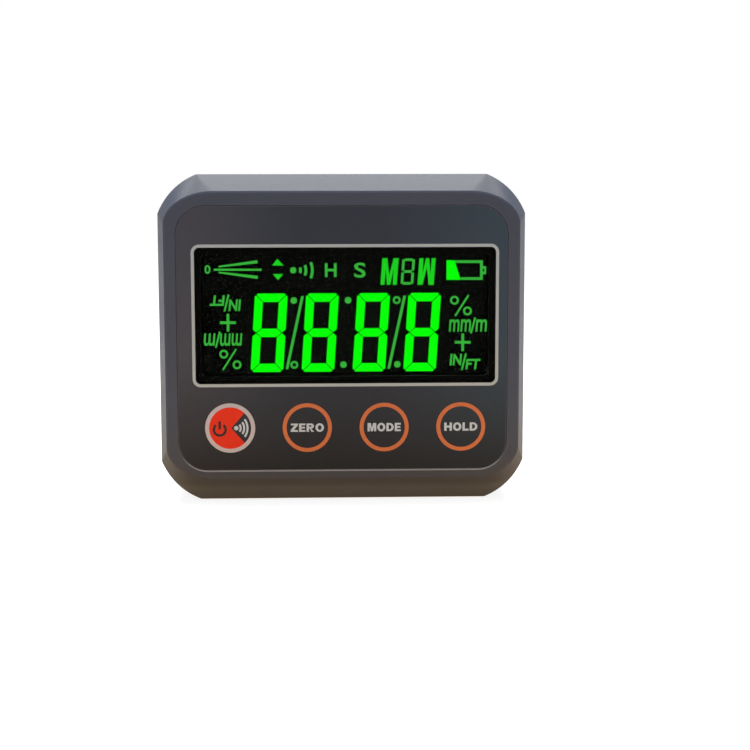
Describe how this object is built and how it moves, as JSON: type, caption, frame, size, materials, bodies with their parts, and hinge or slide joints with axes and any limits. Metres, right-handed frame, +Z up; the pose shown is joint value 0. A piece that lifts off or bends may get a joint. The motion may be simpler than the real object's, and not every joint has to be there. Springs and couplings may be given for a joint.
{
  "type": "digital angle gauge",
  "caption": "Pocket digital angle gauge: bevelled box case with a lit negative display, a row of round keys, a battery bay at the back and a V-grooved magnetic base rail.",
  "frame": {"origin": "middle of the base, on the plane of the base rail's flats", "axes": "+X along the base and its V groove, display faces -Y, +Z up"},
  "size_m": [0.067, 0.03, 0.06],
  "materials": {
    "case_plastic": "fine satin texture",
    "door_plastic": "fine satin texture",
    "rail_aluminium": "ground flats",
    "magnet_nickel": "bright plating",
    "printed_film": "semi-matt printed film",
    "power_print": "semi-matt printed film",
    "lens_acrylic": "clear, polished",
    "display_glass": "black glass",
    "lit_segments": "lit green",
    "lit_marks": "dim lit green",
    "light_guide": "clear guide",
    "white_plastic": "moulded",
    "plunger_plastic": "moulded",
    "switch_plastic": "moulded",
    "zebra_rubber": "layered silicone",
    "board_laminate": "solder mask",
    "chip_resin": "moulded resin",
    "tinned_metal": "nickel plated sheet",
    "capacitor_ceramic": "fired ceramic",
    "cell_jacket": "printed sleeve",
    "red_insulation": "wire insulation",
    "black_insulation": "wire insulation",
    "black_steel": "black oxide",
    "screw_steel": "zinc plated"
  },
  "bodies": {
    "case": {"front_cover": "case_plastic", "rear_cover": "case_plastic", "base_rail": "rail_aluminium", "magnet_left_front": "magnet_nickel", "magnet_left_rear": "magnet_nickel", "magnet_right_front": "magnet_nickel", "magnet_right_rear": "magnet_nickel", "overlay_film": "printed_film", "display_lens": "lens_acrylic", "power_switch": "switch_plastic", "zero_switch": "switch_plastic", "mode_switch": "switch_plastic", "hold_switch": "switch_plastic", "lcd_cell": "display_glass", "lcd_digits": "lit_segments", "lcd_marks": "lit_marks", "lcd_backlight": "light_guide", "lcd_frame": "white_plastic", "zebra_strip": "zebra_rubber", "main_board": "board_laminate", "tilt_sensor": "chip_resin", "microcontroller": "chip_resin", "crystal": "tinned_metal", "buzzer": "chip_resin", "board_capacitors": "capacitor_ceramic", "aaa_cell_upper": "cell_jacket", "aaa_cell_lower": "cell_jacket", "contact_positive": "tinned_metal", "contact_negative": "tinned_metal", "contact_bridge": "tinned_metal", "lead_positive": "red_insulation", "lead_negative": "black_insulation", "case_screws": "black_steel", "board_screws": "screw_steel", "base_screws": "screw_steel"},
    "power_key": {"power_key_zone": "power_print", "power_plunger": "plunger_plastic", "power_switch_stem": "white_plastic"},
    "zero_key": {"zero_key_zone": "printed_film", "zero_plunger": "plunger_plastic", "zero_switch_stem": "white_plastic"},
    "mode_key": {"mode_key_zone": "printed_film", "mode_plunger": "plunger_plastic", "mode_switch_stem": "white_plastic"},
    "hold_key": {"hold_key_zone": "printed_film", "hold_plunger": "plunger_plastic", "hold_switch_stem": "white_plastic"},
    "door": {"battery_door": "door_plastic"}
  },
  "joints": [
    {"name": "power_key_press", "type": "slide", "parent": "case", "child": "power_key", "axis": [0, 1, 0], "range_m": [0, 0.00025], "stiffness_N_per_m": 1500, "springref_m": -0.0007},
    {"name": "zero_key_press", "type": "slide", "parent": "case", "child": "zero_key", "axis": [0, 1, 0], "range_m": [0, 0.00025], "stiffness_N_per_m": 1500, "springref_m": -0.0007},
    {"name": "mode_key_press", "type": "slide", "parent": "case", "child": "mode_key", "axis": [0, 1, 0], "range_m": [0, 0.00025], "stiffness_N_per_m": 1500, "springref_m": -0.0007},
    {"name": "hold_key_press", "type": "slide", "parent": "case", "child": "hold_key", "axis": [0, 1, 0], "range_m": [0, 0.00025], "stiffness_N_per_m": 1500, "springref_m": -0.0007},
    {"name": "battery_door_slide", "type": "slide", "parent": "case", "child": "door", "axis": [1, 0, 0], "range_m": [0, 0.06]}
  ]
}
